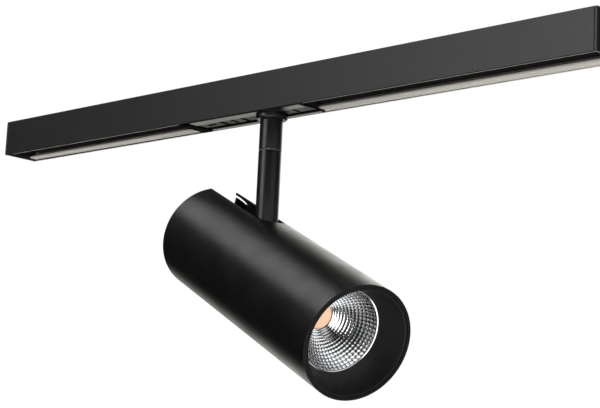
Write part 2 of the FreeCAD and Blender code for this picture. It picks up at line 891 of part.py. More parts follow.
def sink_bores():
    """Tapped holes for the bracket, the light source and the tube, and two passages for the wires."""
    bores = [rod("screw_shank", "thread_deep", (along, "0", "foot_top - thread_deep"))
             for along in BRACKET_SCREWS]
    bores += [rod("screw_shank", "holder_tap", ("sink_face - holder_tap", across, "0"), "x")
              for across in HOLDER_SCREWS]
    bores += [rod("screw_shank", "thread_deep + 2 * screw_rise", (along, "0", "-head_radius"))
              for along in TUBE_SCREWS]
    bores += [rod("head_wire_hole", "sink_face - trough_end", ("trough_end", across, "head_wire_up"), "x")
              for across in HEAD_WIRES]
    return bores


def make_heat_sink():
    """Finned heat sink with a flat base for the light source and a trough for the hinge."""
    drum = rod("sink_radius", "sink_face - sink_start", ("sink_start", "0", "0"), "x")
    base = rod("sink_fit", "sink_base", ("sink_face - sink_base", "0", "0"), "x")
    trough = box(("sink_start", "-trough_half", "foot_top - foot_thick"),
                 ("trough_end", "trough_half", "sink_fit"))
    node("heat_sink", cut(fuse(drum, base), trough, *fin_slots(), *sink_bores()), HEAD)
    node("tube_screws", group(*[tube_screw(along) for along in TUBE_SCREWS]), HEAD)


POSTS = (("-post_spread", "post_rise"), ("post_spread", "post_rise"), ("0", "-post_drop"))


def make_posts():
    """Three spacers from the heat sink to the rear cover."""
    start = "rear_inset + rear_thick"
    posts = []
    for across, up in POSTS:
        bar = rod("post_radius", "sink_start - (%s)" % start, (start, across, up), "x")
        posts.append(cut(bar, rod("screw_shank", "post_tap", (start, across, up), "x")))
    node("support_posts", group(*posts), HEAD)


def rear_screw(across, up):
    head_at = ("rear_inset - screw_rise", across, up)
    shank = rod("screw_shank", "rear_thick + post_tap", ("rear_inset", across, up), "x")
    head = rod("screw_head", "screw_rise", head_at, "x")
    return cut(fuse(shank, head), hexagon("screw_shank", "socket_deep", head_at, "x"))


VENTS = 4


def make_rear_cover():
    """Disc behind the tube's rear rim, notched so that the stem can swing into line with the head."""
    behind = "rear_inset + rear_thick"
    disc = rod("rear_radius", "rear_thick", ("rear_inset", "0", "0"), "x")
    notch = box(("rear_inset", "-notch_half", "notch_low"), (behind, "notch_half", "head_radius"))
    vents = []
    for step in range(VENTS):
        level = "vent_first + %d * vent_pitch" % step
        vents.append(box(("rear_inset", "-vent_half", level), (behind, "vent_half", level + " + vent_tall")))
    holes = [rod("screw_shank", "rear_thick", ("rear_inset", across, up), "x") for across, up in POSTS]
    node("rear_cover", cut(disc, notch, *vents, *holes), HEAD)
    node("rear_cover_screws", group(*[rear_screw(across, up) for across, up in POSTS]), HEAD)


def holder_screw(across):
    top = "sink_face + led_thick + holder_thick"
    length = "holder_tap + led_thick + holder_thick"
    shank = rod("screw_shank", length, ("sink_face - holder_tap", across, "0"), "x")
    head = rod("screw_head", "screw_rise", (top, across, "0"), "x")
    socket = hexagon("screw_shank", "socket_deep", (top + " + screw_rise - socket_deep", across, "0"), "x")
    return cut(fuse(shank, head), socket)


def make_light_source():
    """Chip-on-board light source, the round emitting surface, and the holder that clamps it."""
    face = "sink_face + led_thick"
    node("led_board", box(("sink_face", "-led_half", "-led_half"), (face, "led_half", "led_half")), HEAD)
    node("light_emitter", rod("emitter_radius", "emitter_thick", (face, "0", "0"), "x"), HEAD)
    rim = ring("holder_outer", "holder_inner", "led_thick + holder_thick", ("sink_face", "0", "0"), "x")
    nest = box(("sink_face", "-led_half", "-led_half"), (face, "led_half", "led_half"))
    holes = [rod("screw_shank", "led_thick + holder_thick", ("sink_face", across, "0"), "x")
             for across in HOLDER_SCREWS]
    node("led_holder", cut(rim, nest, *holes), HEAD)
    node("holder_screws", group(*[holder_screw(across) for across in HOLDER_SCREWS]), HEAD)
    length = "sink_face + head_wire_over - head_wire_start"
    wires = [rod("head_wire", length, ("head_wire_start", across, "head_wire_up"), "x")
             for across in HEAD_WIRES]
    node("head_wires", group(*wires), HEAD)


def make_reflector():
    """Bowl-shaped reflector with a thin rim."""
    body = new_body("Reflector")
    revolve(body, [
        ("mirror_base", "mirror_neck", "mirror_curve", "left"),
        ("mirror_front", "mirror_mouth"),
        ("mirror_front", "mirror_flange"),
        ("mirror_front - mirror_wall", "mirror_flange"),
        ("mirror_front - mirror_wall", "mirror_mouth + mirror_wall", "mirror_curve + mirror_wall", "right"),
        ("mirror_base", "mirror_neck + mirror_foot"),
    ], "H_Axis")
    node("reflector", body, HEAD)


def make_baffle():
    """Black conical glare baffle on a sleeve that slides into the front of the tube."""
    body = new_body("Baffle")
    revolve(body, [
        ("baffle_front", "baffle_mouth"),
        ("baffle_front", "baffle_outer"),
        ("sink_face", "baffle_outer"),
        ("sink_face", "sleeve_inner"),
        ("baffle_front - sleeve_rim", "sleeve_inner"),
        ("baffle_back", "baffle_neck + cone_wall"),
        ("baffle_back", "baffle_neck"),
    ], "H_Axis")
    node("front_baffle", body, HEAD)


def make_head():
    make_bracket()
    make_tilt_bolt()
    make_head_tube()
    make_heat_sink()
    make_posts()
    make_rear_cover()
    make_light_source()
    make_reflector()
    make_baffle()


# ---- document ----------------------------------------------------------------------------------

def check_document():
    """Stop if an object failed or a sub-part has no valid solid."""
    for item in doc.Objects:
        if "Invalid" in item.State or "Error" in item.State:
            raise RuntimeError("failed object: %s %s %s" % (item.Name, item.Label, item.State))
    for label, item in nodes.items():
        if item.Shape.isNull() or not item.Shape.isValid() or not item.Shape.Solids:
            raise RuntimeError("bad shape: " + label)


def write_steps():
    os.makedirs("parts", exist_ok=True)
    for label, item in nodes.items():
        item.Shape.exportStep("parts/%s.step" % label)


make_track()
make_adapter()
make_stem()
make_head()
doc.recompute()
check_document()
write_steps()
print("%d nodes written" % len(nodes))
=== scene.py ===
"""Looks for the track spotlight: fine meshes for its visible shells, procedural materials, and a studio."""
import json
import math

import bmesh
import bpy
import numpy as np
from mathutils import Matrix, Vector


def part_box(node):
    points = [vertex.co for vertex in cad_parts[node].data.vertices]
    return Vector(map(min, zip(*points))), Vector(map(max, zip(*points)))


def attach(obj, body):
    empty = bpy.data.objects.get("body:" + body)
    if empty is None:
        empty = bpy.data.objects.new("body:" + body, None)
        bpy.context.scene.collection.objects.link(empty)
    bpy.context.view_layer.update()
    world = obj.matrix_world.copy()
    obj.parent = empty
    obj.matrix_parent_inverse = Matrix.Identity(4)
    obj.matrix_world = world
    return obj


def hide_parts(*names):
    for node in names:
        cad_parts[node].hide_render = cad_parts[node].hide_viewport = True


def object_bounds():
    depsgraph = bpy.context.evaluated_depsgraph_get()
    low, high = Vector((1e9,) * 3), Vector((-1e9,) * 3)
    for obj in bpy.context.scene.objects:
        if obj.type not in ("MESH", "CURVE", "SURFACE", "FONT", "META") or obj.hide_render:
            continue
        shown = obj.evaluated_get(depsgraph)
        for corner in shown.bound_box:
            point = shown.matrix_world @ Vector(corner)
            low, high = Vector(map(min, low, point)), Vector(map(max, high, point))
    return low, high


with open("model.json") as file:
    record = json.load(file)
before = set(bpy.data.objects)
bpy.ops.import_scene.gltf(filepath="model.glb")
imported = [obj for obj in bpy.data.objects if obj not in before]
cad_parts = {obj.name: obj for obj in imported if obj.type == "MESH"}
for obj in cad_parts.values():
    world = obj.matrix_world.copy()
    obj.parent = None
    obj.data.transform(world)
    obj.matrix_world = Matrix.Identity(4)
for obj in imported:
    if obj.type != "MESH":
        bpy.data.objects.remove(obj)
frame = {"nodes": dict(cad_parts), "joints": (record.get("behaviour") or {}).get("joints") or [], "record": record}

CAD_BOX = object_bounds()
MM = 0.001
NODES = frame["nodes"]
JOINTS = {joint["name"]: joint for joint in frame["joints"]}

# Vertices this near to a plane or a radius are taken to be on it
TOUCH = 0.05 * MM


# ---- frames ------------------------------------------------------------------------------------

def axes_matrix(x, y, z, origin):
    """4x4 matrix whose columns are three axes and an origin."""
    return Matrix((
        (x[0], y[0], z[0], origin[0]),
        (x[1], y[1], z[1], origin[1]),
        (x[2], y[2], z[2], origin[2]),
        (0, 0, 0, 1),
    ))


def middle(node):
    """Middle of a CAD node's box."""
    low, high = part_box(node)
    return (low + high) / 2


def head_matrix():
    """Head frame: X forward along the tube from its rear rim, Y along the tilt axis, Z towards the slot."""
    tilt = JOINTS["tilt"]
    side = Vector(tilt["axis"]).normalized()
    level = side.cross(Vector((0, 0, 1)))
    down = math.radians(-tilt["range_deg"][0])
    forward = level * math.cos(down) - Vector((0, 0, 1)) * math.sin(down)
    up = forward.cross(side)
    on_axis = axes_matrix(forward, side, up, middle("light_emitter"))
    rear = local_points("head_tube", on_axis)[:, 0].min()
    return on_axis @ Matrix.Translation((rear, 0, 0))


def local_points(node, matrix):
    """Vertices of a CAD node in another frame."""
    inverse = np.array(matrix.inverted())
    points = np.array([vertex.co for vertex in NODES[node].data.vertices])
    return points @ inverse[:3, :3].T + inverse[:3, 3]


HEAD = head_matrix()


def head_points(node):
    """A head node's vertices as distance along the tube, and radius from its axis."""
    points = local_points(node, HEAD)
    return points[:, 0], np.hypot(points[:, 1], points[:, 2])


# ---- mesh building -----------------------------------------------------------------------------

SAME_POINT = 0.0001 * MM
CORNER_STEPS = 4
BEVEL_SEGMENTS = 2
# Edges sharper than these angles, in degrees, are shaded hard, or rounded by a bevel
SHARP_ANGLE = 35
BEVEL_ANGLE = 40
EDGE_ROUND = 0.2 * MM
# Cosines past which a face looks inwards, forwards or down
LOOKS_IN = 0.5
LOOKS_AHEAD = 0.95
LOOKS_DOWN = 0.5


def build(name, points, faces, matrix, sharp=SHARP_ANGLE):
    """Mesh object whose points are given in the frame of the matrix."""
    mesh = bpy.data.meshes.new(name)
    mesh.from_pydata([matrix @ Vector(point) for point in points], [], faces)
    mesh.validate()
    mesh.update()
    finish_shading(mesh, sharp)
    piece = bpy.data.objects.new(name, mesh)
    bpy.context.scene.collection.objects.link(piece)
    return piece


def finish_shading(mesh, sharp):
    """Smooth faces, and hard edges where two faces meet at more than the angle in degrees."""
    mesh.polygons.foreach_set("use_smooth", [True] * len(mesh.polygons))
    mesh.set_sharp_from_angle(angle=math.radians(sharp))


def round_corners(outline):
    """Outline of (x, y) or (x, y, radius) with each given corner turned into an arc."""
    result = []
    count = len(outline)
    for index, corner in enumerate(outline):
        here = Vector(corner[:2])
        if len(corner) == 2:
            result.append(tuple(here))
            continue
        before = (Vector(outline[index - 1][:2]) - here).normalized()
        after = (Vector(outline[(index + 1) % count][:2]) - here).normalized()
        half = math.acos(max(-1, min(1, before.dot(after)))) / 2
        reach = corner[2] / math.tan(half)
        start = here + before * reach
        end = here + after * reach
        centre = here + (before + after).normalized() * (corner[2] / math.sin(half))
        for step in range(CORNER_STEPS + 1):
            spoke = (start - centre).lerp(end - centre, step / CORNER_STEPS).normalized()
            result.append(tuple(centre + spoke * corner[2]))
    return result


def lathe(name, outline, matrix, sectors=128):
    """Revolve a closed outline of (along, radius) or (along, radius, corner) about the X axis of a frame."""
    outline = round_corners(outline)
    count = len(outline)
    points = []
    for step in range(sectors):
        turn = 2 * math.pi * step / sectors
        points += [(along, radius * math.sin(turn), radius * math.cos(turn)) for along, radius in outline]
    faces = []
    for step in range(sectors):
        here = step * count
        there = (step + 1) % sectors * count
        for index in range(count):
            following = (index + 1) % count
            faces.append((here + index, here + following, there + following, there + index))
    piece = build(name, points, faces, matrix)
    face_outwards(piece)
    return piece


def face_outwards(piece):
    """Join points that coincide, and turn every face's normal out of the piece."""
    mesh = bmesh.new()
    mesh.from_mesh(piece.data)
    bmesh.ops.remove_doubles(mesh, verts=mesh.verts, dist=SAME_POINT)
    bmesh.ops.recalc_face_normals(mesh, faces=mesh.faces)
    mesh.to_mesh(piece.data)
    mesh.free()


def bevel(piece, width):
    """Softly rounded edges that keep the flat faces flat."""
    modifier = piece.modifiers.new("rounding", "BEVEL")
    modifier.width = width
    modifier.segments = BEVEL_SEGMENTS
    modifier.limit_method = "ANGLE"
    modifier.angle_limit = math.radians(BEVEL_ANGLE)
    modifier.harden_normals = True
    modifier.use_clamp_overlap = True


# ---- shader trees ------------------------------------------------------------------------------

class Shader:
    """Small helper for writing node trees."""

    def __init__(self, tree):
        self.tree = tree
        self.tree.nodes.clear()

    def node(self, kind, **settings):
        node = self.tree.nodes.new(kind)
        for name, setting in settings.items():
            setattr(node, name, setting)
        return node

    def link(self, source, target):
        """Feed an input from another node's output, or with a plain value."""
        if isinstance(source, bpy.types.NodeSocket):
            self.tree.links.new(source, target)
        else:
            target.default_value = source

    def value(self, number):
        node = self.node("ShaderNodeValue")
        node.outputs[0].default_value = number
        return node.outputs[0]

    def maths(self, operation, first, second):
        node = self.node("ShaderNodeMath", operation=operation)
        self.link(first, node.inputs[0])
        self.link(second, node.inputs[1])
        return node.outputs[0]

    def ramp(self, source, low, high):
        """Smooth step from 0 at low to 1 at high."""
        node = self.node("ShaderNodeMapRange", interpolation_type="SMOOTHSTEP")
        self.link(source, node.inputs["Value"])
        self.link(low, node.inputs["From Min"])
        self.link(high, node.inputs["From Max"])
        return node.outputs["Result"]

    def mix(self, share, first, second):
        node = self.node("ShaderNodeMix", data_type="RGBA")
        self.link(share, node.inputs["Factor"])
        self.link(first, node.inputs["A"])
        self.link(second, node.inputs["B"])
        return node.outputs["Result"]

    def noise(self, where, scale, detail=2.0, roughness=0.5):
        node = self.node("ShaderNodeTexNoise")
        self.link(where, node.inputs["Vector"])
        node.inputs["Scale"].default_value = scale
        node.inputs["Detail"].default_value = detail
        node.inputs["Roughness"].default_value = roughness
        return node.outputs["Fac"]


def colour(value):
    """Grey number or three numbers as an opaque RGBA tuple."""
    if isinstance(value, (int, float)):
        value = (value, value, value)
    return (*value, 1.0)


# ---- studio ------------------------------------------------------------------------------------

def direction(azimuth, elevation):
    """Unit vector: azimuth from +X towards +Y, elevation above level."""
    turn = math.radians(azimuth)
    rise = math.radians(elevation)
    return Vector((math.cos(turn) * math.cos(rise), math.sin(turn) * math.cos(rise), math.sin(rise)))


# Bright parts of the room as (azimuth, elevation, full within, gone beyond, strength, tint), in degrees
ROOM = (
    (112, 20, 6, 33, 2.3, (1.0, 0.99, 0.95)),
    (138, -20, 12, 26, 1.3, (1.0, 0.97, 0.91)),
    (0, 10, 8, 30, 0.8, (1.0, 1.0, 1.0)),
    (27, -32, 6, 18, 0.1, (1.0, 1.0, 1.0)),
    (-50, -43, 38, 46, 2.0, (1.0, 1.0, 1.0)),
    (-112, 12, 4, 19, 5.0, (1.0, 1.0, 1.0)),
    (45, -10, 6, 22, 0.6, (1.0, 1.0, 1.0)),
    (0, -90, 30, 60, 0.22, (1.0, 1.0, 1.0)),
)
ROOM_BASE = 0.012
PAPER_GLOW = 1.02


def make_world():
    """White paper for the camera, and a dark room with bright parts for everything else."""
    world = bpy.data.worlds.new("studio")
    bpy.context.scene.world = world
    world.use_nodes = True
    shader = Shader(world.node_tree)
    ray = shader.node("ShaderNodeTexCoord").outputs["Generated"]
    total = shader.value(ROOM_BASE)
    for azimuth, elevation, full, gone, strength, tint in ROOM:
        towards = shader.node("ShaderNodeVectorMath", operation="DOT_PRODUCT")
        shader.link(ray, towards.inputs[0])
        towards.inputs[1].default_value = direction(azimuth, elevation)
        edge = math.cos(math.radians(gone))
        core = math.cos(math.radians(full))
        share = shader.ramp(towards.outputs["Value"], edge, core)
        glow = shader.mix(share, colour(0), colour([strength * part for part in tint]))
        add = shader.node("ShaderNodeVectorMath", operation="ADD")
        shader.link(total, add.inputs[0])
        shader.link(glow, add.inputs[1])
        total = add.outputs[0]
    room = shader.node("ShaderNodeBackground")
    shader.link(total, room.inputs["Color"])
    paper = shader.node("ShaderNodeBackground")
    paper.inputs["Color"].default_value = colour(1.0)
    paper.inputs["Strength"].default_value = PAPER_GLOW
    seen = shader.node("ShaderNodeLightPath").outputs["Is Camera Ray"]
    both = shader.node("ShaderNodeMixShader")
    shader.link(seen, both.inputs[0])
    shader.link(room.outputs[0], both.inputs[1])
    shader.link(paper.outputs[0], both.inputs[2])
    shader.link(both.outputs[0], shader.node("ShaderNodeOutputWorld").inputs["Surface"])


# Soft boxes as (name, azimuth, elevation, distance, width, height, watts), in degrees and metres
LIGHTS = (
    ("key_box", -152, 51, 1.8, 0.95, 0.95, 6.8),
    ("fill_box", 20, 60, 1.6, 0.8, 0.8, 1.0),
)


def make_lights(centre):
    """Soft boxes that face the centre and that the camera doesn't see."""
    for name, azimuth, elevation, distance, width, height, watts in LIGHTS:
        data = bpy.data.lights.new(name, "AREA")
        data.shape = "RECTANGLE"
        data.size = width
        data.size_y = height
        data.energy = watts
        light = bpy.data.objects.new(name, data)
        bpy.context.scene.collection.objects.link(light)
        away = direction(azimuth, elevation)
        light.location = centre + away * distance
        light.rotation_mode = "QUATERNION"
        light.rotation_quaternion = away.to_track_quat("Z", "Y")
        light.visible_camera = False


# Place from the stem's top in metres, angles in degrees, lens in millimetres
CAMERA_FROM_STEM = Vector((0.8954, -0.9124, -0.3026))
CAMERA_YAW = -43.28
CAMERA_PITCH = 10.19
CAMERA_ROLL = 2.70
CAMERA_LENS = 96.13


def make_camera(stem_top):
    """Camera below and beside the track, looking slightly up along it."""
    yaw, pitch, roll = (math.radians(angle) for angle in (CAMERA_YAW, CAMERA_PITCH, CAMERA_ROLL))
    ahead = Vector((math.sin(yaw) * math.cos(pitch), math.cos(yaw) * math.cos(pitch), math.sin(pitch)))
    level = Vector((math.cos(yaw), -math.sin(yaw), 0))
    up = level.cross(ahead)
    right = level * math.cos(roll) + up * math.sin(roll)
    top = up * math.cos(roll) - level * math.sin(roll)
    data = bpy.data.cameras.new("camera")
    data.lens = CAMERA_LENS
    camera = bpy.data.objects.new("camera", data)
    camera.matrix_world = axes_matrix(right, top, -ahead, stem_top + CAMERA_FROM_STEM)
    bpy.context.scene.collection.objects.link(camera)
    bpy.context.scene.camera = camera


# Drop below the lamp and radius in metres; solid within and gone beyond these shares of the radius
FLOOR_DROP = 0.33
FLOOR_RADIUS = 1.5
FLOOR_SOLID = 0.55
FLOOR_GONE = 0.98
FLOOR_RINGS = 4
FLOOR_SECTORS = 96
FLOOR_TONES = (0.80, 0.84)
FLOOR_ROUGHNESS = 0.7
FLOOR_GLOW = 0.62


def make_floor(centre, low):
    """Round pale floor that fades out towards its rim, and can't be seen from below."""
    place = Matrix.Translation((centre.x, centre.y, low - FLOOR_DROP))
    points = [(0, 0, 0)]
    for ring in range(1, FLOOR_RINGS + 1):
        radius = FLOOR_RADIUS * ring / FLOOR_RINGS
        for step in range(FLOOR_SECTORS):
            turn = 2 * math.pi * step / FLOOR_SECTORS
            points.append((radius * math.cos(turn), radius * math.sin(turn), 0))
    faces = [(0, 1 + step, 1 + (step + 1) % FLOOR_SECTORS) for step in range(FLOOR_SECTORS)]
    for ring in range(FLOOR_RINGS - 1):
        inner = 1 + ring * FLOOR_SECTORS
        outer = inner + FLOOR_SECTORS
        for step in range(FLOOR_SECTORS):
            following = (step + 1) % FLOOR_SECTORS
            faces.append((inner + step, outer + step, outer + following, inner + following))
    floor = build("floor", points, faces, place)
    floor.data.materials.append(floor_material(place.translation))
    floor.visible_glossy = False
    floor.visible_diffuse = False


def floor_material(centre):
    """Pale paint that glows a little, solid near the centre and clear at the rim and from below."""
    material = bpy.data.materials.new("floor")
    material.use_nodes = True
    shader = Shader(material.node_tree)
    where = shader.node("ShaderNodeTexCoord").outputs["Object"]
    away = shader.node("ShaderNodeVectorMath", operation="DISTANCE")
    shader.link(where, away.inputs[0])
    away.inputs[1].default_value = centre
    within = shader.ramp(away.outputs["Value"], FLOOR_RADIUS * FLOOR_GONE, FLOOR_RADIUS * FLOOR_SOLID)
    below = shader.node("ShaderNodeNewGeometry").outputs["Backfacing"]
    solid = shader.maths("MULTIPLY", within, shader.maths("SUBTRACT", 1.0, below))
    paint = shader.node("ShaderNodeBsdfPrincipled")
    dark, light = FLOOR_TONES
    tone = shader.mix(shader.noise(where, scale=6, detail=4), colour(dark), colour(light))
    shader.link(tone, paint.inputs["Base Color"])
    paint.inputs["Roughness"].default_value = FLOOR_ROUGHNESS
    paint.inputs["Emission Color"].default_value = colour(1.0)
    paint.inputs["Emission Strength"].default_value = FLOOR_GLOW
    clear = shader.node("ShaderNodeBsdfTransparent")
    both = shader.node("ShaderNodeMixShader")
    shader.link(solid, both.inputs[0])
    shader.link(clear.outputs[0], both.inputs[1])
    shader.link(paint.outputs[0], both.inputs[2])
    shader.link(both.outputs[0], shader.node("ShaderNodeOutputMaterial").inputs["Surface"])
    return material


# ---- materials ---------------------------------------------------------------------------------

# Mesh attribute that marks the reflector's seams, where painted shade lines go
SEAM_MARK = "seam"
# How near to a seam the painted shade line starts and is full (1 is on the seam), and its tone
SEAM_STARTS = 0.66
SEAM_FULL = 1.0
SEAM_SHADE_TONE = 0.01

BROAD_PATCH = 25 * MM
WEAR_AND_GLINT_PATCH = 6 * MM
# Pointiness at which an edge starts to get and fully gets its pale wear and painted highlight, and the same for
# the patches' noise
EDGE_STARTS = 0.52
EDGE_FULL = 0.60
PATCH_STARTS = 0.35
PATCH_FULL = 0.7


def worn_and_glinting(shader, tone, where, wear_and_glint, wear_and_glint_colour):
    """A tone with pale patches along pointed edges: rubbed-through paint, and a painted highlight along the edges.
    """
    pointed = shader.node("ShaderNodeNewGeometry").outputs["Pointiness"]
    edge = shader.ramp(pointed, EDGE_STARTS, EDGE_FULL)
    patches = shader.noise(where, 1 / WEAR_AND_GLINT_PATCH, detail=4.0, roughness=0.7)
    patchy = shader.ramp(patches, PATCH_STARTS, PATCH_FULL)
    share = shader.maths("MULTIPLY", shader.maths("MULTIPLY", edge, patchy), wear_and_glint)
    return shader.mix(share, tone, colour(wear_and_glint_colour))


def shade_seams(shader, tone, attribute):
    """A tone with dark lines of painted shade where the mesh attribute is near 1."""
    line = shader.node("ShaderNodeAttribute", attribute_name=attribute).outputs["Fac"]
    return shader.mix(shader.ramp(line, SEAM_STARTS, SEAM_FULL), tone, colour(SEAM_SHADE_TONE))


def surface(name, base, roughness, metal=0.0, grain=0.3, bump=0.15, mottle=0.15, rough_mottle=0.1, wear_and_glint=0.0,
            wear_and_glint_colour=0.35, painted_glow=None, coat=0.0, specular=0.5, stretch=(1, 1, 1), seams=None):
    """Procedural finish of uneven colour and roughness, with a fine relief.

    grain is the relief's size in mm and bump its height in grain sizes. stretch scales the pattern along the
    axes. painted_glow is (red, green, blue, strength): a painted glow, seen by the camera only, that lights
    nothing. seams names a mesh attribute that marks dark lines of painted shade.
    """
    material = bpy.data.materials.new(name)
    material.use_nodes = True
    shader = Shader(material.node_tree)
    scaled = shader.node("ShaderNodeMapping")
    shader.link(shader.node("ShaderNodeTexCoord").outputs["Object"], scaled.inputs["Vector"])
    scaled.inputs["Scale"].default_value = stretch
    where = scaled.outputs["Vector"]
    fine = shader.noise(where, 1 / (grain * MM), detail=2.0, roughness=0.6)
    broad = shader.noise(where, 1 / BROAD_PATCH, detail=3.0, roughness=0.6)
    dark = colour([part * (1 - mottle) for part in base])
    light = colour([min(1, part * (1 + mottle)) for part in base])
    tone = shader.mix(shader.maths("MULTIPLY", shader.maths("ADD", fine, broad), 0.5), dark, light)
    # Pale edges: wear, and a painted highlight along the edges.
    if wear_and_glint > 0:
        tone = worn_and_glinting(shader, tone, where, wear_and_glint, wear_and_glint_colour)
    # Painted shade: dark lines along the reflector's facet creases.
    if seams is not None:
        tone = shade_seams(shader, tone, seams)
    uneven = shader.maths("MULTIPLY", shader.maths("SUBTRACT", broad, 0.5), 2 * rough_mottle)
    relief = shader.node("ShaderNodeBump")
    relief.inputs["Distance"].default_value = grain * MM * bump
    relief.inputs["Strength"].default_value = 1.0
    shader.link(fine, relief.inputs["Height"])
    paint = shader.node("ShaderNodeBsdfPrincipled")
    shader.link(tone, paint.inputs["Base Color"])
    shader.link(shader.maths("ADD", uneven, roughness), paint.inputs["Roughness"])
    shader.link(relief.outputs["Normal"], paint.inputs["Normal"])
    paint.inputs["Metallic"].default_value = metal
    paint.inputs["Specular IOR Level"].default_value = specular
    paint.inputs["Coat Weight"].default_value = coat
    # Painted glow: camera-only emission that brightens a part and lights nothing.
    if painted_glow is not None:
        seen = shader.node("ShaderNodeLightPath").outputs["Is Camera Ray"]
        paint.inputs["Emission Color"].default_value = colour(painted_glow[:3])
        shader.link(shader.maths("MULTIPLY", seen, painted_glow[3]), paint.inputs["Emission Strength"])
    shader.link(paint.outputs[0], shader.node("ShaderNodeOutputMaterial").inputs["Surface"])
    return material


# Finish of each material slot in the record
MATERIALS = {
    "track_paint": surface("track_paint", (0.007, 0.007, 0.0072), 0.36, grain=1.1, bump=0.10, mottle=0.1,
                           rough_mottle=0.03),
    "insulator": surface("insulator", (0.022, 0.022, 0.021), 0.5, grain=0.4, bump=0.05),
    "copper": surface("copper", (0.80, 0.42, 0.26), 0.28, metal=1.0, grain=0.2, bump=0.05,
                      stretch=(0.05, 1, 1)),
    "black_plastic": surface("black_plastic", (0.014, 0.014, 0.014), 0.38, grain=0.35, bump=0.06),
    "dial_plastic": surface("dial_plastic", (0.02, 0.02, 0.02), 0.5, grain=0.35, bump=0.06, specular=0.2),
    "tab_rubber": surface("tab_rubber", (0.005, 0.005, 0.005), 0.8, grain=0.3, bump=0.12, specular=0.03),
    "steel": surface("steel", (0.58, 0.58, 0.57), 0.3, metal=1.0, grain=0.15, bump=0.05, mottle=0.1),
    "circuit_board": surface("circuit_board", (0.02, 0.13, 0.06), 0.35, grain=1.5, bump=0.02, mottle=0.5,
                             coat=0.4),
    "component_case": surface("component_case", (0.05, 0.05, 0.055), 0.5, grain=0.3, bump=0.05),
    "nylon": surface("nylon", (0.75, 0.74, 0.70), 0.5, grain=0.3, bump=0.03),
    "cable_sheath": surface("cable_sheath", (0.55, 0.55, 0.53), 0.5, grain=0.3, bump=0.04),
    # Pale patches on pointed edges: wear, and a painted highlight along the head's edges.
    "black_paint": surface("black_paint", (0.0062, 0.0062, 0.0060), 0.36, grain=0.7, bump=0.09, wear_and_glint=0.12),
    "anodised_aluminium": surface("anodised_aluminium", (0.05, 0.05, 0.052), 0.38, metal=0.8, grain=0.25,
                                  bump=0.05, wear_and_glint=0.3),
    "led_substrate": surface("led_substrate", (0.80, 0.80, 0.77), 0.4, grain=0.3, bump=0.02),
    # Painted glow on the unlit phosphor, seen by the camera only.
    "led_phosphor": surface("led_phosphor", (0.95, 0.62, 0.41), 0.5, grain=0.5, bump=0.05, mottle=0.05,
                            painted_glow=(1.0, 0.62, 0.42, 0.46)),
    "holder_plastic": surface("holder_plastic", (0.82, 0.82, 0.80), 0.35, grain=0.3, bump=0.02),
    # Dark seam lines: painted shade in the creases between facets.
    "reflector_metal": surface("reflector_metal", (0.90, 0.91, 0.92), 0.07, metal=1.0, grain=0.4, bump=0.01,
                               mottle=0.02, rough_mottle=0.02, seams=SEAM_MARK),
    "baffle_plastic": surface("baffle_plastic", (0.018, 0.018, 0.0175), 0.5, grain=0.35, bump=0.08),
}

# Finishes of some faces of a piece
# Pale bare metal, partly a painted reflection of the bright room at grazing angles.
SATIN_METAL_AND_SHEEN = surface("satin_metal_and_sheen", (0.74, 0.72, 0.66), 0.45, grain=0.3, bump=0.04, mottle=0.05)
# Painted shade: a darker copy of the bare metal for the inner walls, deeper in the channel.
SHADED_METAL = surface("shaded_metal", (0.24, 0.23, 0.21), 0.5, grain=0.3, bump=0.04, mottle=0.05)
# Painted shade: darker paint without sheen, for the near lip's underside only.
NEAR_LIP_SHADE = surface("near_lip_shade", (0.006, 0.006, 0.006), 0.7, grain=0.3, bump=0.08, specular=0.05)
MATT_PLASTIC = surface("matt_plastic", (0.012, 0.012, 0.012), 0.55, grain=0.35, bump=0.08, specular=0.2)
# Painted shade: near-black without sheen, for the cover's recessed groove.
GROOVE_SHADE = surface("groove_shade", (0.004, 0.004, 0.004), 0.9, grain=0.35, bump=0.08, specular=0.0)
# Painted shade: a darker copy of the black paint without sheen, for the tube's inside.
TUBE_INSIDE_SHADE = surface("tube_inside_shade", (0.004, 0.004, 0.004), 0.9, grain=0.3, bump=0.1, specular=0.1)

SLOT_OF = {part["node"]: part["material_slot"] for part in frame["record"]["subparts"]}


def dress(piece, slot):
    """Give a piece its slot's material."""
    piece.data.materials.clear()
    piece.data.materials.append(MATERIALS[slot])
    for polygon in piece.data.polygons:
        polygon.material_index = 0


def finish_faces(piece, material, chosen):
    """Another finish on the faces for which chosen(middle, normal) is true."""
    piece.data.materials.append(material)
    index = len(piece.data.materials) - 1
    for polygon in piece.data.polygons:
        if chosen(polygon.center, polygon.normal):
            polygon.material_index = index


def stand_in(piece, node):
    """A fine mesh that stands for a CAD node, rides with its body and takes its material."""
    body = next(name for name, members in frame["record"]["behaviour"]["bodies"].items() if node in members)
    dress(piece, SLOT_OF[node])
    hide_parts(node)
    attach(piece, body)


# ---- head: tube --------------------------------------------------------------------------------

# Where the CAD tube's vertices are looked for. Above this height they are near the slot. Up to the first
# distance they are on its straight sides. Up to the second, the furthest on the middle line is at its end.
SLOT_HEIGHT = 30 * MM
SLOT_SIDES = 50 * MM
SLOT_REACH = 200 * MM
MIDDLE_LINE = 0.2 * MM

# The tube's grid: rows behind the slot's round end, degrees between rows round it, and rows ahead of it as
# shares of the rest
TUBE_COLUMNS = 160
TUBE_ROWS_BEHIND = 5
SLOT_END_STEP = 6
TUBE_ROWS_AHEAD = (0.12, 0.3, 0.5, 0.7, 0.9, 1.0)
RIM_ROUND = 0.5 * MM


def slot_shape():
    """Half the width of the tube's slot, and where its round end is centred."""
    along, across, height = local_points("head_tube", HEAD).T
    beside = height > SLOT_HEIGHT
    half = np.abs(across[beside & (along < SLOT_SIDES)]).min()
    end = along[beside & (along < SLOT_REACH) & (np.abs(across) < MIDDLE_LINE)].max()
    return half, end - half


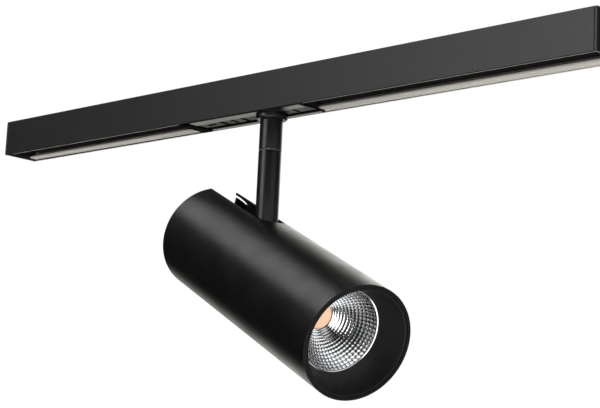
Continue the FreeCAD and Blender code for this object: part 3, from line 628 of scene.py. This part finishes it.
def tube_rows(pivot, half, length):
    """Places of the tube's grid lines: behind the slot's round end, round it and ahead of it."""
    end = pivot + half
    rows = [pivot * row / TUBE_ROWS_BEHIND for row in range(TUBE_ROWS_BEHIND)]
    rows += [pivot + half * math.sin(math.radians(angle)) for angle in range(0, 91, SLOT_END_STEP)]
    return rows + [end + (length - end) * share for share in TUBE_ROWS_AHEAD]


def tube_wall(rows, wall, pivot, half):
    """Points of one wall of the tube, from one edge of the slot round to the other on each row."""
    points = []
    for x in rows:
        gap = half if x <= pivot else math.sqrt(max(0.0, half ** 2 - (x - pivot) ** 2))
        start = math.asin(gap / wall)
        for column in range(TUBE_COLUMNS + 1):
            turn = start + (2 * math.pi - 2 * start) * column / TUBE_COLUMNS
            points.append((x, wall * math.sin(turn), wall * math.cos(turn)))
    return points


def tube_faces(lines, slot_lines):
    """Faces of both walls, the slot's sides along its first lines, and the tube's two rims."""
    width = TUBE_COLUMNS + 1
    layer = width * lines
    faces = []
    for row in range(lines - 1):
        for column in range(TUBE_COLUMNS):
            here = row * width + column
            following = here + width
            faces.append((here, here + 1, following + 1, following))
            faces.append((layer + here, layer + following, layer + following + 1, layer + here + 1))
    for row in range(slot_lines):
        for side in (0, TUBE_COLUMNS):
            here = row * width + side
            faces.append((here, here + width, layer + here + width, layer + here))
    for row in (0, lines - 1):
        for column in range(TUBE_COLUMNS):
            here = row * width + column
            faces.append((here, here + 1, layer + here + 1, layer + here))
    return faces


def make_head_tube():
    """Tube wall as a grid that follows the slot's edge, rounded by a bevel."""
    along, radius = head_points("head_tube")
    half, pivot = slot_shape()
    rows = tube_rows(pivot, half, along.max())
    points = tube_wall(rows, radius.max(), pivot, half) + tube_wall(rows, radius.min(), pivot, half)
    slot_lines = len(rows) - len(TUBE_ROWS_AHEAD) - 1
    piece = build("head_tube_shell", points, tube_faces(len(rows), slot_lines), HEAD)
    face_outwards(piece)
    bevel(piece, RIM_ROUND)
    stand_in(piece, "head_tube")
    head = HEAD.inverted()
    turned = head.to_3x3()

    def faces_axis(centre, normal):
        from_axis = (head @ centre).yz
        return from_axis.dot((turned @ normal).yz) < -LOOKS_IN * from_axis.length

    # Painted shade on the inside of the tube.
    finish_faces(piece, TUBE_INSIDE_SHADE, faces_axis)


# ---- head: baffle, reflector, emitter ----------------------------------------------------------

BAFFLE_SECTORS = 192
BAFFLE_WALL = 1.4 * MM
BAFFLE_FRONT = 2.5 * MM
MOUTH_ROUND = 0.3 * MM


def make_baffle():
    """Hollow cone with a sleeve, its front face duller than the rest."""
    along, radius = head_points("front_baffle")
    front = along.max()
    back = along.min()
    outer = radius.max()
    mouth = radius[along > front - TOUCH].min()
    neck = radius.min()
    neck_place = along[radius < neck + TOUCH].max()
    sleeve = radius[along < back + TOUCH].min()
    outline = [
        (front, mouth, MOUTH_ROUND),
        (front, outer, EDGE_ROUND),
        (back, outer),
        (back, sleeve),
        (front - BAFFLE_FRONT, sleeve),
        (neck_place, neck + BAFFLE_WALL),
        (neck_place, neck, EDGE_ROUND),
    ]
    piece = lathe("baffle_cone", outline, HEAD, BAFFLE_SECTORS)
    stand_in(piece, "front_baffle")
    ahead = HEAD.col[0].xyz

    def front_face(centre, normal):
        return normal.dot(ahead) > LOOKS_AHEAD

    finish_faces(piece, MATT_PLASTIC, front_face)


# Facets in rings and sectors, the grid cells across each, and the radii of their pillow shape
FACET_RINGS = 14
FACET_SECTORS = 60
FACET_GRID = 4
FACET_CURVE_ALONG = 5.0 * MM
FACET_CURVE_ROUND = 7.0 * MM
# Share of the arc that has facets, the power by which the rings widen towards the mouth, and how fast the
# seams between sectors come in from the base
FACETS_END = 0.97
RING_GROWTH = 1.3
ROUND_SEAM_GROWTH = 2.5
FACET_SHARP = 50
RIM_DEPTH = 0.32 * MM
RIM_WIDTH = 0.55 * MM
MIRROR_CURVE = 46 * MM
MIRROR_WALL = 1.0 * MM
# Shares of the arc at which the plain back has its rings
MIRROR_BACK = (0.85, 0.7, 0.5, 0.3, 0.12, 0.0)


def mirror_curve(share, base, mouth):
    """Point and inward normal on the reflector's arc at a share of its length. Points are (along, radius)."""
    chord = Vector(mouth) - Vector(base)
    left = Vector((-chord.y, chord.x)).normalized()
    half = chord.length / 2
    centre = (Vector(base) + Vector(mouth)) / 2 - left * math.sqrt(MIRROR_CURVE ** 2 - half ** 2)
    start = (Vector(base) - centre).angle_signed(Vector(mouth) - centre)
    spoke = Vector(base) - centre
    spoke.rotate(Matrix.Rotation(-start * share, 2))
    return centre + spoke, -spoke.normalized()


def spin(line, columns):
    """A ring of points about the head's axis, from one (along, radius) or from one for each column."""
    ring = []
    for column in range(columns):
        x, radius = line[column % len(line)]
        turn = 2 * math.pi * column / columns
        ring.append((x, radius * math.sin(turn), radius * math.cos(turn)))
    return ring


def facet_ring(row, base, mouth):
    """One ring of points across the facets: their (along, radius), and how near each is to a seam."""
    rows = FACET_RINGS * FACET_GRID
    ring_middle = (row // FACET_GRID + 0.5) / FACET_RINGS
    share = (row / rows) ** RING_GROWTH * FACETS_END
    stretch = RING_GROWTH * ring_middle ** (RING_GROWTH - 1) * FACETS_END
    place, inward = mirror_curve(share, base, mouth)
    half_along = (Vector(mouth) - Vector(base)).length / FACET_RINGS / 2 * stretch
    half_round = math.pi * place.y / FACET_SECTORS
    round_seam = min(1.0, row / rows * ROUND_SEAM_GROWTH)
    up_facet = (row % FACET_GRID) / FACET_GRID * 2 - 1
    rise_along = half_along ** 2 / (2 * FACET_CURVE_ALONG) * (1 - up_facet ** 2)
    line = []
    seams = []
    for column in range(FACET_SECTORS * FACET_GRID):
        across_facet = (column % FACET_GRID) / FACET_GRID * 2 - 1
        rise_round = half_round ** 2 / (2 * FACET_CURVE_ROUND) * (1 - across_facet ** 2)
        line.append(tuple(place + inward * (rise_along + rise_round)))
        seams.append(max(abs(up_facet), abs(across_facet) * round_seam))
    return line, seams


def reflector_back(base, mouth, front, flange):
    """Outline of the reflector's rim and back, as (along, radius), from the mirror's edge to its base."""
    outline = [
        (front - RIM_DEPTH, mouth[1] - RIM_WIDTH),
        (front, mouth[1]),
        (front, flange),
        (front - MIRROR_WALL, flange),
        (front - MIRROR_WALL, mouth[1] + MIRROR_WALL),
    ]
    for share in MIRROR_BACK:
        place, inward = mirror_curve(share, base, mouth)
        outer = place - inward * MIRROR_WALL
        outline.append((max(outer.x, base[0]), outer.y))
    return outline


def make_reflector():
    """Mirror bowl of pillow-shaped facets, with a sloping rim and a plain back."""
    along, radius = head_points("reflector")
    front = along.max()
    base = (along.min(), radius.min())
    mouth = (front, radius[along > front - TOUCH].min())
    columns = FACET_SECTORS * FACET_GRID
    grid = []
    seams = []
    for row in range(FACET_RINGS * FACET_GRID + 1):
        line, line_seams = facet_ring(row, base, mouth)
        grid.append(spin(line, columns))
        seams += line_seams
    grid += [spin([point], columns) for point in reflector_back(base, mouth, front, radius.max())]
    points = [point for line in grid for point in line]
    faces = []
    for row in range(len(grid)):
        here = row * columns
        following = (row + 1) % len(grid) * columns
        for column in range(columns):
            right = (column + 1) % columns
            faces.append((here + column, here + right, following + right, following + column))
    piece = build("reflector_bowl", points, faces, HEAD, FACET_SHARP)
    seam = piece.data.attributes.new(SEAM_MARK, "FLOAT", "POINT")
    seam.data.foreach_set("value", seams + [0.0] * (len(points) - len(seams)))
    face_outwards(piece)
    stand_in(piece, "reflector")


EMITTER_SECTORS = 96
EMITTER_FOOT_ROUND = 0.1 * MM
DAM_ROUND = 0.3 * MM
DAM_WIDTH = 0.8 * MM
DOME_RISE = 0.4 * MM
# Degrees on the dome's quarter ellipse
DOME_ANGLES = range(10, 90, 16)


def make_emitter():
    """Light-emitting disc: a soft gel dome inside a low dam."""
    along, radius = head_points("light_emitter")
    back = along.min()
    front = along.max()
    outer = radius.max()
    foot = front - DOME_RISE
    outline = [(back, 0.0), (back, outer, EMITTER_FOOT_ROUND), (foot, outer, DAM_ROUND)]
    for angle in DOME_ANGLES:
        turn = math.radians(angle)
        outline.append((foot + DOME_RISE * math.sin(turn), (outer - DAM_WIDTH) * math.cos(turn)))
    outline.append((front, 0.0))
    stand_in(lathe("emitter_gel", outline, HEAD, EMITTER_SECTORS), "light_emitter")


def make_head():
    make_head_tube()
    make_baffle()
    make_reflector()
    make_emitter()


# ---- stem --------------------------------------------------------------------------------------

COLLAR_ROUND = 0.5 * MM
JOINT_ROUND = 0.45 * MM
STEM_FOOT_ROUND = 0.35 * MM

# Frame whose X axis points up
UPRIGHT = axes_matrix((0, 0, 1), (0, 1, 0), (-1, 0, 0), (0, 0, 0))


def stem_points(node):
    """A stem node's vertices as height and radius from the stem's axis."""
    points = local_points(node, Matrix.Identity(4))
    return points[:, 2], np.hypot(points[:, 0], points[:, 1])


def make_collar():
    """Collar with a rounded foot."""
    height, radius = stem_points("collar")
    top = height.max()
    foot = height.min()
    outer = radius.max()
    bore = radius.min()
    lower = radius[height < foot + TOUCH].max()
    step = outer - lower
    outline = [
        (top, bore),
        (top, outer, EDGE_ROUND),
        (foot + step, outer, COLLAR_ROUND),
        (foot, lower, COLLAR_ROUND),
        (foot, bore),
    ]
    stand_in(lathe("collar_ring", outline, UPRIGHT), "collar")


def make_stem_tube(name, node, top_round, foot_round):
    """Stem tube with rounded ends and the CAD node's bore, which may be stepped."""
    height, radius = stem_points(node)
    top = height.max()
    foot = height.min()
    outer = radius.max()
    bore_top = radius[height > top - TOUCH].min()
    bore_foot = radius[height < foot + TOUCH].min()
    outline = [(top, bore_top), (top, outer, top_round), (foot, outer, foot_round), (foot, bore_foot)]
    if bore_foot > bore_top + TOUCH:
        step = height[radius < bore_top + TOUCH].min()
        outline += [(step, bore_foot), (step, bore_top)]
    stand_in(lathe(name, outline, UPRIGHT), node)


def make_stem():
    make_collar()
    make_stem_tube("upper_stem_tube", "upper_stem", EDGE_ROUND, JOINT_ROUND)
    make_stem_tube("lower_stem_tube", "lower_stem", JOINT_ROUND, STEM_FOOT_ROUND)


# ---- CAD nodes that stay -----------------------------------------------------------------------

# Width of the rounding on the edges of the larger nodes, and of the others, in mm
SOFT_EDGE = {
    "track_extrusion": 0.3, "end_cap_left": 0.6, "end_cap_right": 0.6, "adapter_cover": 0.25,
    "release_tab": 0.2, "lock_rotor_left": 0.2, "lock_rotor_right": 0.2, "phase_dial": 0.2,
    "rear_cover": 0.35, "hinge_bracket": 0.35, "hinge_tongue": 0.4, "heat_sink": 0.25,
}
SMALL_EDGE = 0.12
WELD_DISTANCE = 0.002 * MM


def soften(node):
    """Join the CAD node's split vertices and round its edges."""
    piece = NODES[node]
    weld = piece.modifiers.new("joined", "WELD")
    weld.merge_threshold = WELD_DISTANCE
    bevel(piece, SOFT_EDGE.get(node, SMALL_EDGE) * MM)


# Heights above the track's lower edge, and the distance within which a face is inside its walls
LIP_FACE = 0.1 * MM
LIP_HEIGHT = 0.9 * MM
FLANGE_HEIGHT = 3.4 * MM
TRACK_WALL = 0.95 * MM

# Depths from the adapter cover's underside
CHANNEL_DEPTH = 0.3 * MM
GROOVE_DEPTH = 1.2 * MM


def finish_track():
    """Bare metal on the flanges, pale partly as a painted reflection, and a darker copy of it as painted shade
    on the inner walls.

    Under the lips, painted shade on the near one (lower Y), dark paint without sheen, and a painted
    reflection on the far one, the pale bare-metal finish.
    """
    low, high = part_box("track_extrusion")

    def under_lip(centre, normal):
        return normal.z < -LOOKS_DOWN and centre.z - low.z < LIP_FACE

    def shaded_near_lip(centre, normal):
        return under_lip(centre, normal) and centre.y < 0

    def sheen_far_lip(centre, normal):
        return under_lip(centre, normal) and centre.y > 0

    def between_walls(centre):
        return abs(centre.y) < high.y - TRACK_WALL

    def flange(centre, normal):
        return between_walls(centre) and LIP_HEIGHT < centre.z - low.z < FLANGE_HEIGHT

    def shaded_inner_wall(centre, normal):
        return between_walls(centre) and low.z + FLANGE_HEIGHT <= centre.z < high.z - TRACK_WALL

    track = NODES["track_extrusion"]
    finish_faces(track, SATIN_METAL_AND_SHEEN, flange)
    # Painted shade: the darker copy of the metal on the inner walls.
    finish_faces(track, SHADED_METAL, shaded_inner_wall)
    # Painted shade under the near lip, and a painted reflection under the far lip.
    finish_faces(track, NEAR_LIP_SHADE, shaded_near_lip)
    finish_faces(track, SATIN_METAL_AND_SHEEN, sheen_far_lip)


def finish_cover():
    """Matt plastic on the floor of the adapter cover's channel, and near-black plastic without sheen, painted
    shade, in its groove.
    """
    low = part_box("adapter_cover")[0].z

    def channel(centre, normal):
        return normal.z < -LOOKS_DOWN and CHANNEL_DEPTH < centre.z - low < GROOVE_DEPTH

    def shaded_groove(centre, normal):
        return centre.z - low >= GROOVE_DEPTH

    finish_faces(NODES["adapter_cover"], MATT_PLASTIC, channel)
    # Painted shade in the groove.
    finish_faces(NODES["adapter_cover"], GROOVE_SHADE, shaded_groove)


def dress_nodes():
    """Materials and soft edges for the CAD nodes that are still seen."""
    for node, piece in NODES.items():
        if piece.hide_render:
            continue
        dress(piece, SLOT_OF[node])
        soften(node)
    finish_track()
    finish_cover()


# ---- scene -------------------------------------------------------------------------------------

make_head()
make_stem()
dress_nodes()

bpy.context.view_layer.update()
make_world()
make_lights(middle("head_tube"))
make_camera(Vector((0, 0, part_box("track_extrusion")[0].z)))
make_floor((CAD_BOX[0] + CAD_BOX[1]) / 2, CAD_BOX[0].z)
bpy.context.scene.view_settings.view_transform = "Standard"
